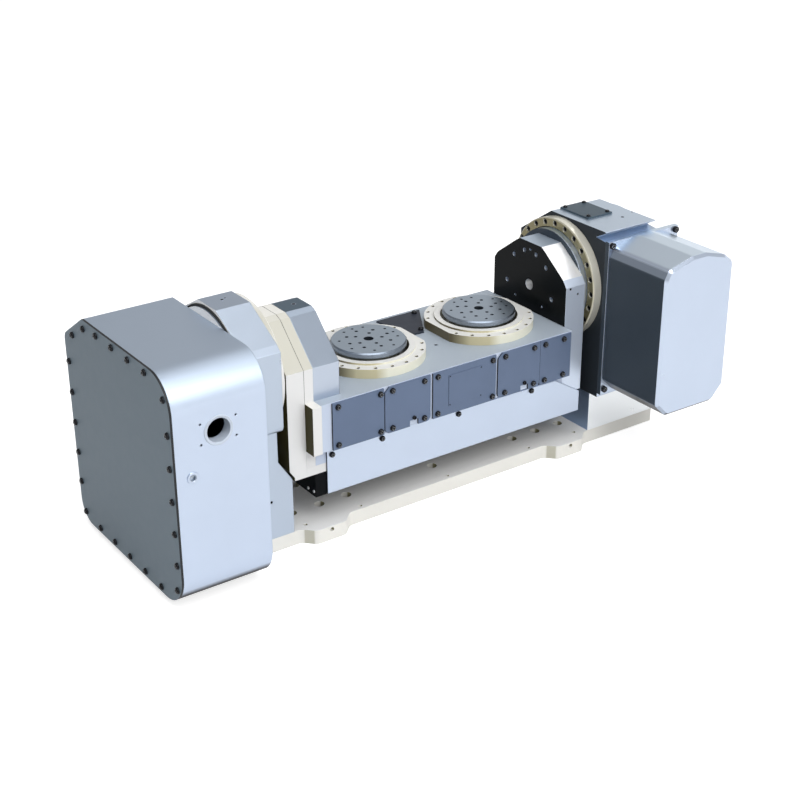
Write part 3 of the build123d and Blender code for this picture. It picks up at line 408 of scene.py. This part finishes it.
def paint_nodes():
    """Give every node of the part its material."""
    slots = {s["node"]: s["material_slot"] for s in frame["record"]["subparts"]}
    for name, piece in NODES.items():
        piece.data.materials.clear()
        piece.data.materials.append(OVERRIDES.get(name, MATERIALS[slots[name]]))
    for side in ("left", "right"):
        low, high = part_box(f"faceplate_{side}")
        steel = turned_steel(f"faceplate_steel_{side}", FACEPLATE_STEEL, (low + high) / 2,
                             [FACEPLATE_LIT_TOP])
        NODES[f"faceplate_{side}"].data.materials[0] = steel


def islands(name):
    """Lowest and highest corners of each separate solid of a node."""
    bm = bmesh.new()
    bm.from_mesh(NODES[name].data)
    bmesh.ops.remove_doubles(bm, verts=bm.verts, dist=MERGE)
    seen, boxes = set(), []
    for start in bm.verts:
        if start in seen:
            continue
        stack, group = [start], []
        seen.add(start)
        while stack:
            vert = stack.pop()
            group.append(vert.co.copy())
            for edge in vert.link_edges:
                other = edge.other_vert(vert)
                if other not in seen:
                    seen.add(other)
                    stack.append(other)
        low = Vector([min(c[i] for c in group) for i in range(3)])
        high = Vector([max(c[i] for c in group) for i in range(3)])
        boxes.append((low, high))
    bm.free()
    return boxes


def circle_angles(segments):
    """Angles of the points of a circle."""
    return [2 * pi * i / segments for i in range(segments)]


def new_loop(bm, at, turn, points):
    """New points round an axis, each given by its radius, angle and height."""
    return [bm.verts.new(at + turn @ Vector((r * cos(a), r * sin(a), z))) for r, a, z in points]


def skin(bm, loops, closed=False):
    """Faces between neighbouring loops, and between the last and the first where closed."""
    for loop, after in zip(loops, loops[1:] + loops[:1] if closed else loops[1:]):
        for i in range(len(loop)):
            j = (i + 1) % len(loop)
            bm.faces.new((loop[i], loop[j], after[j], after[i]))


def hex_radius(angle, apothem):
    """Distance from the centre to a hexagon's side at an angle."""
    turned_by = (angle + pi / 6) % (pi / 3) - pi / 6
    return apothem / cos(turned_by)


def add_head(bm, foot, outward, radius, height, profile):
    """One screw head with a hex socket, its foot on the clamped face."""
    turn = outward.to_track_quat("Z", "Y").to_matrix()
    angles = circle_angles(HEAD_SEGMENTS)
    rings = [[(radius * r, a, height * z) for a in angles] for r, z in profile]
    for z in (height, height * (1 - SOCKET_DEPTH)):
        rings.append([(hex_radius(a, radius * SOCKET_SIZE), a, z) for a in angles])
    loops = [new_loop(bm, foot, turn, ring) for ring in rings]
    skin(bm, loops)
    bm.faces.new(list(reversed(loops[0])))
    bm.faces.new(loops[-1])


def add_socket(bm, foot, outward, radius, height):
    """The bare wall of a hex socket, as a thin hexagonal tube."""
    turn = outward.to_track_quat("Z", "Y").to_matrix()
    outer, inner = radius * SOCKET_SIZE - SOCKET_GAP, radius * SOCKET_SIZE - SOCKET_WALL
    top, floor = height * SOCKET_TOP, height * (1 - SOCKET_DEPTH) + SOCKET_GAP
    angles = circle_angles(HEAD_SEGMENTS)
    loops = [new_loop(bm, foot, turn, [(hex_radius(a, size), a, z) for a in angles])
             for size, z in ((outer, floor), (outer, top), (inner, top), (inner, floor))]
    skin(bm, loops, closed=True)


def screws(name, node, body, outward, profile=BUTTON_PROFILE, bare_socket=False):
    """Detailed heads in place of a node's plain screws."""
    bm, sockets = bmesh.new(), bmesh.new()
    for low, high in islands(node):
        size = high - low
        axis = min(range(3), key=lambda i: size[i])
        direction = outward((low + high) / 2, axis)
        foot = (low + high) / 2
        foot[axis] = low[axis] if direction[axis] > 0 else high[axis]
        radius = max(size) / 2
        add_head(bm, foot, direction, radius, size[axis], profile)
        if bare_socket:
            add_socket(sockets, foot, direction, radius, size[axis])
    if bare_socket:
        mesh_object(f"{name}_sockets", sockets, body, "bearing_steel")
    else:
        sockets.free()
    piece = mesh_object(name, bm, body, "black_steel", smooth_angle=HEAD_SMOOTH_ANGLE)
    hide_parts(node)


# Rules that give a screw's outward direction from its centre and its axis

def straight(direction):
    """Every screw points the same way."""
    return lambda centre, axis: Vector(direction)


def front_or_up(centre, axis):
    """Screws of the cradle's covers point to the front, or up on the beam's top."""
    return Vector(UP if axis == 2 else FRONT)


def inwards(centre, axis):
    """Trunnion ring bolts point to the middle of the machine."""
    return Vector(RIGHT if centre.x < 0 else LEFT)


def build_screws():
    """All screws that are nodes of the part."""
    screws("drive_cover_heads", "drive_cover_screws", "base", straight(LEFT), bare_socket=True)
    screws("cradle_cover_heads", "cradle_cover_screws", "cradle", front_or_up, bare_socket=True)
    screws("trunnion_heads", "trunnion_ring_bolts", "base", inwards, CAP_PROFILE)
    screws("spindle_ring_heads", "spindle_ring_screws", "cradle", straight(UP), CAP_PROFILE)
    screws("clamp_unit_heads", "clamp_unit_screws", "base", straight(FRONT), CAP_PROFILE,
           bare_socket=True)
    screws("panel_heads", "support_panel_screws", "base", straight(UP), bare_socket=True)
    screws("plug_heads", "port_plugs", "cradle", straight(FRONT), CAP_PROFILE)


def turned(bm, at, axis, profile, segments):
    """Turn a profile of (radius, height) round an axis; its first and last points are joined."""
    turn = Vector(axis).to_track_quat("Z", "Y").to_matrix()
    angles = circle_angles(segments)
    loops = [new_loop(bm, Vector(at), turn, [(radius, a, height) for a in angles])
             for radius, height in profile]
    skin(bm, loops, closed=True)
    bmesh.ops.recalc_face_normals(bm, faces=bm.faces)


def turned_fitting(name, body, at, axis, profile, segments, slot, **looks):
    """A turned fitting as a piece of its own."""
    bm = bmesh.new()
    turned(bm, at, axis, profile, segments)
    mesh_object(name, bm, body, slot, **looks)


def slab(bm, low, high, bevel):
    """A thin plate between two corners, with its edges broken."""
    middle = (Vector(low) + Vector(high)) / 2
    size = Vector(high) - Vector(low)
    made = bmesh.ops.create_cube(bm, size=1.0, matrix=Matrix.Translation(middle)
                                 @ Matrix.Diagonal((*size, 1)))
    edges = {e for v in made["verts"] for e in v.link_edges}
    bmesh.ops.bevel(bm, geom=list(edges), offset=bevel, segments=2, affect="EDGES")


# Small tapped holes by body: place on the surface, direction, radius
HOLES = {
    "base": [((-0.308, 0.0043, 0.3296), UP, 0.0021), ((-0.3026, 0.0065, 0.3296), UP, 0.0015),
             ((0.3059, -0.0548, 0.3317), UP, 0.0024), ((0.332, -0.0464, 0.3317), UP, 0.0012),
             ((-0.2963, -0.076, 0.0744), FRONT, 0.0021)],
    "cradle": [((0.0, -0.0258, 0.2008), UP, 0.0023), ((-0.208, 0.0, 0.3015), UP, 0.0028),
               ((0.1918, -0.080, 0.2557), FRONT, 0.0018),
               ((0.2056, -0.080, 0.2459), FRONT, 0.0018)],
}
HOLE_SEGMENTS = 20
HOLE_RIM = 0.00045          # width of the countersunk rim
HOLE_ROOT = -0.0003         # how far rim and bore reach below the surface
RIM_EDGE = 0.00008          # height of the rim's outer edge above the surface
RIM_LIP = 0.00012           # height of its inner edge
RIM_BACK = 0.9              # inner radius at the root, as a share of the hole's
BORE_SHADE_SHARE = 0.92           # radius of the black disc painted as the shade inside the bore, as a share of the hole's
BORE_SHADE_TOP = 0.00006          # its end, just above the surface
BORE_SHADE_MIDDLE = 0.00005       # radius left open in its middle


def drilled(bm_rim, bm_shade, at, axis, radius):
    """A small tapped hole on a face: a countersunk rim, and a black disc in it painted as the shade
    inside its bore.
    """
    rim = radius + HOLE_RIM
    turned(bm_rim, at, axis, ((rim, HOLE_ROOT), (rim, RIM_EDGE), (radius, RIM_LIP),
                              (radius * RIM_BACK, HOLE_ROOT)), HOLE_SEGMENTS)
    # the black disc painted as the shade inside the bore
    bore = radius * BORE_SHADE_SHARE
    turned(bm_shade, at, axis, ((bore, HOLE_ROOT), (bore, BORE_SHADE_TOP), (BORE_SHADE_MIDDLE, BORE_SHADE_TOP),
                               (BORE_SHADE_MIDDLE, HOLE_ROOT)), HOLE_SEGMENTS)


def build_holes():
    """Small tapped holes that the solids leave out, the shade inside each painted as a black disc.
    """
    for body, places in HOLES.items():
        rims, bore_shades = bmesh.new(), bmesh.new()
        for at, axis, radius in places:
            drilled(rims, bore_shades, at, axis, radius)
        mesh_object(f"hole_rims_{body}", rims, body, "silver_paint", PLAIN_SILVER)
        mesh_object(f"hole_bore_shades_{body}", bore_shades, body, "black_box")


# Turned fittings of the drive housing, and a turned black ring of painted shade on the pedestal,
# with (radius, height) profiles
CABLE_PORT = (-0.4006, 0.2368)      # x and z of its centre
CABLE_PORT_PROFILE = ((0.0155, -0.0145), (0.0155, 0.0007), (0.0167, 0.0011), (0.0186, 0.0011),
                      (0.0194, 0.0002), (0.0194, -0.0005), (0.0164, -0.0005), (0.0164, -0.0145))
AIR_PORT = (-0.4376, 0.1849)
AIR_PORT_PROFILE = ((0.0044, -0.007), (0.0044, 0.0004), (0.0037, 0.0002), (0.0035, -0.0035),
                    (0.0002, -0.0042), (0.0002, -0.007))
# a thin black ring on the pedestal's left face, painted as the line of shade there
SHADE_RING_X = -0.332
SHADE_RING_PROFILE = ((0.0841, -0.0005), (0.0841, 0.0016), (0.0868, 0.0016), (0.0873, 0.0010),
                (0.0873, -0.0005))


def build_ports():
    """The cable port's rim and sleeve, the air port's seat, and a black ring on the pedestal
    painted as the line of shade on its left face.
    """
    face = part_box("drive_housing")[0].y
    turned_fitting("cable_port_rim", "base", (CABLE_PORT[0], face, CABLE_PORT[1]), FRONT,
                   CABLE_PORT_PROFILE, segments=56, slot="silver_paint", material=PORT_COAT)
    turned_fitting("air_port_seat", "base", (AIR_PORT[0], face, AIR_PORT[1]), FRONT,
                   AIR_PORT_PROFILE, segments=32, slot="machined_steel")
    turned_fitting("pedestal_shade_ring", "base", (SHADE_RING_X, 0, TILT_HEIGHT), LEFT, SHADE_RING_PROFILE,
                   segments=96, slot="belt_rubber")


THREAD_TURNS = 11
THREAD_PITCH = 0.0018
THREAD_DEPTH = 0.0009
THREAD_RADIUS = 0.00795
THREAD_BACK = 0.0081        # radius of the sleeve's hidden side
THREAD_START = 0.0005       # from the arm's face


def build_thread():
    """The thread in the right arm's centre bore."""
    end = THREAD_START + THREAD_TURNS * THREAD_PITCH
    profile = [(THREAD_RADIUS, THREAD_START)]
    for k in range(THREAD_TURNS):
        profile += [(THREAD_RADIUS, THREAD_START + k * THREAD_PITCH),
                    (THREAD_RADIUS - THREAD_DEPTH, THREAD_START + (k + 0.5) * THREAD_PITCH)]
    profile += [(THREAD_RADIUS, end), (THREAD_BACK, end), (THREAD_BACK, THREAD_START)]
    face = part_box("right_arm")[0].x
    turned_fitting("arm_thread", "cradle", (face, 0, TILT_HEIGHT), RIGHT, profile,
                   segments=48, slot="bearing_steel", smooth_angle=THREAD_SMOOTH_ANGLE)


PLATE_X, PLATE_Z = (-0.0321, 0.024), (0.1455, 0.191)
PLATE_PROUD = 0.0006        # how far the plate stands out of the cover
PLATE_SUNK = 0.0002         # how far it reaches into the cover
PLATE_BEVEL = 0.0002
PIN_X, PIN_Z = (-0.0300, 0.0218), (0.1474, 0.1890)
PIN_PROFILE = ((0.0010, -0.0003), (0.0009, 0.0003), (0.0004, 0.0005), (0.0001, -0.0003))


def build_blank_plate():
    """A bare plate on the middle cover, held by four pins."""
    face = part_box("front_cover_3")[0].y
    front = face - PLATE_PROUD
    bm = bmesh.new()
    slab(bm, (PLATE_X[0], front, PLATE_Z[0]), (PLATE_X[1], face + PLATE_SUNK, PLATE_Z[1]),
         PLATE_BEVEL)
    mesh_object("blank_plate", bm, "cradle", "slate_paint")
    bm = bmesh.new()
    for x in PIN_X:
        for z in PIN_Z:
            turned(bm, (x, front, z), FRONT, PIN_PROFILE, segments=16)
    mesh_object("blank_plate_pins", bm, "cradle", "black_steel")


JOINT_X = (-0.24462, -0.24418)
JOINT_MIDDLE = 0.25         # height that the outline grows from
JOINT_GROWTH = (1.0022, 1.0032)     # growth over the plates' outline, in Y and Z
JOINT_OUTLINE = ((-0.0795, 0.2010), (-0.0795, 0.2465), (-0.027, 0.2975), (-0.017, 0.3015),
                 (0.017, 0.3015), (0.027, 0.2975), (0.0795, 0.2465), (0.0795, 0.2010))


def build_joint_line():
    """Dark joint line between the flange plate and the end plate."""
    bm = bmesh.new()
    loops = [[bm.verts.new((x, y * JOINT_GROWTH[0],
                            JOINT_MIDDLE + (z - JOINT_MIDDLE) * JOINT_GROWTH[1]))
              for y, z in JOINT_OUTLINE] for x in JOINT_X]
    skin(bm, loops)
    bm.faces.new(loops[0])
    bm.faces.new(list(reversed(loops[1])))
    bmesh.ops.recalc_face_normals(bm, faces=bm.faces)
    mesh_object("plate_joint", bm, "cradle", "belt_rubber")


BOX_SCREWS = ((-0.062, 0.069), (-0.076, 0.070))     # y and z
BOX_SCREW_RADIUS, BOX_SCREW_HEIGHT = 0.0022, 0.0016


def build_box_screws():
    """Two bright screws in the lower box's end."""
    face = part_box("lower_box")[0].x
    bm = bmesh.new()
    for y, z in BOX_SCREWS:
        add_head(bm, Vector((face, y, z)), Vector(LEFT), BOX_SCREW_RADIUS, BOX_SCREW_HEIGHT,
                 BUTTON_PROFILE)
    mesh_object("box_screws", bm, "cradle", "bearing_steel")


def build_stage():
    """A plain pale floor that glows for the camera, and faintly in reflections."""
    mesh = bpy.data.meshes.new("floor")
    reach = FLOOR_REACH
    mesh.from_pydata([(-reach, -reach, 0), (reach, -reach, 0), (reach, reach, 0),
                      (-reach, reach, 0)], [], [(0, 1, 2, 3)])
    floor = bpy.data.objects.new("floor", mesh)
    floor.location.z = -FLOOR_DROP
    bpy.context.scene.collection.objects.link(floor)
    tree = node_tree("floor")
    for socket, value in (("Base Color", (FLOOR_TONE, FLOOR_TONE, FLOOR_TONE, 1)),
                          ("Roughness", 0.9), ("Specular IOR Level", 0.0),
                          ("Emission Color", (1, 1, 1, 1))):
        tree.shader.inputs[socket].default_value = value
    ray = new_node(tree, "ShaderNodeLightPath").outputs
    mirrored = math_node(tree, "MAXIMUM", ray["Is Glossy Ray"], ray["Is Transmission Ray"])
    faint = math_node(tree, "MULTIPLY", mirrored, MIRROR_GLOW)
    glow = math_node(tree, "MULTIPLY_ADD", ray["Is Camera Ray"], CAMERA_GLOW, faint)
    tree.links.new(glow, tree.shader.inputs["Emission Strength"])
    mesh.materials.append(tree.material)


def area_light(name, at, target, size, power):
    """A soft box of a width and a depth that shines at a point."""
    light = bpy.data.lights.new(name, "AREA")
    light.shape = "RECTANGLE"
    light.size, light.size_y = size
    light.energy = power
    lamp = bpy.data.objects.new(name, light)
    lamp.location = at
    direction = Vector(target) - Vector(at)
    lamp.rotation_euler = direction.to_track_quat("-Z", "Y").to_euler()
    bpy.context.scene.collection.objects.link(lamp)


def build_light():
    """The lamps, and a grey room that is brighter near the horizon and to the right."""
    for name, (at, target, size, power) in LAMPS.items():
        area_light(name, at, target, size, power)
    world = bpy.data.worlds.new("room")
    bpy.context.scene.world = world
    world.use_nodes = True
    tree = SimpleNamespace(nodes=world.node_tree.nodes, links=world.node_tree.links)
    background = tree.nodes["Background"].inputs
    coord = new_node(tree, "ShaderNodeTexCoord")
    split = new_node(tree, "ShaderNodeSeparateXYZ")
    tree.links.new(coord.outputs["Generated"], split.inputs["Vector"])
    ramp = new_node(tree, "ShaderNodeValToRGB")
    for place, _ in ROOM_TONES[1:-1]:
        ramp.color_ramp.elements.new(place)
    for element, (place, tone) in zip(ramp.color_ramp.elements, ROOM_TONES):
        element.position = place
        element.color = (tone, tone, tone, 1)
    tree.links.new(split.outputs["Z"], ramp.inputs["Fac"])
    tree.links.new(ramp.outputs["Color"], background["Color"])
    tree.links.new(map_range(tree, split.outputs["X"], ROOM_STRENGTH), background["Strength"])


def build_camera():
    """The photograph's camera."""
    yaw, drop, roll = (radians(a) for a in (CAMERA_YAW, CAMERA_DROP, CAMERA_ROLL))
    ahead = Vector((sin(yaw) * cos(drop), cos(yaw) * cos(drop), -sin(drop)))
    right = Vector((cos(yaw), -sin(yaw), 0))
    down = ahead.cross(right)
    right, down = cos(roll) * right + sin(roll) * down, cos(roll) * down - sin(roll) * right
    data = bpy.data.cameras.new("camera")
    data.lens = CAMERA_LENS
    data.sensor_width = SENSOR_WIDTH
    data.clip_end = CAMERA_REACH
    camera = bpy.data.objects.new("camera", data)
    turn = Matrix((right, -down, -ahead)).transposed()
    camera.matrix_world = Matrix.Translation(CAMERA_AT) @ turn.to_4x4()
    bpy.context.scene.collection.objects.link(camera)
    bpy.context.scene.camera = camera


bpy.context.scene.view_settings.view_transform = "Standard"
paint_nodes()
build_screws()
build_holes()
build_ports()
build_thread()
build_blank_plate()
build_joint_line()
build_box_screws()
build_stage()
build_light()
build_camera()
